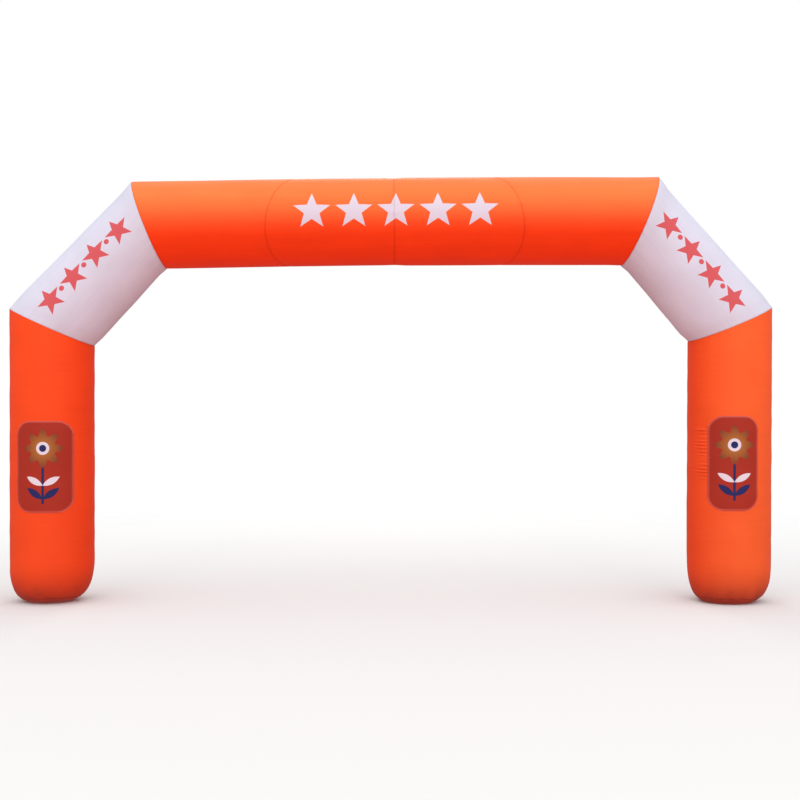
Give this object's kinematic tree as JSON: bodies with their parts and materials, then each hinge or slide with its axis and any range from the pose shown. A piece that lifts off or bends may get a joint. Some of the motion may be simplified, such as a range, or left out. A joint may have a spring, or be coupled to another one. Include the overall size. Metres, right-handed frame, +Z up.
{
  "type": "inflatable square arch",
  "caption": "Air-held cloth arch: round upright legs, slanting shoulders and a level beam, for people to pass under.",
  "frame": {"origin": "on the ground, midway between the feet", "axes": "+X along the beam to the right as seen from the front, +Y to the back, +Z up"},
  "size_m": [8.0032, 0.924, 4.4586],
  "materials": {
    "orange_cloth": "satin coated polyester",
    "white_cloth": "satin coated polyester",
    "printed_patch": "satin printed polyester"
  },
  "bodies": {
    "root": {"left_base": "orange_cloth", "right_base": "orange_cloth", "left_shoulder": "white_cloth", "right_shoulder": "white_cloth", "left_leg": "orange_cloth", "right_leg": "orange_cloth", "beam_left": "orange_cloth", "beam_mid_left": "orange_cloth", "beam_mid_right": "orange_cloth", "beam_right": "orange_cloth", "left_patch": "printed_patch", "right_patch": "printed_patch"}
  },
  "joints": []
}
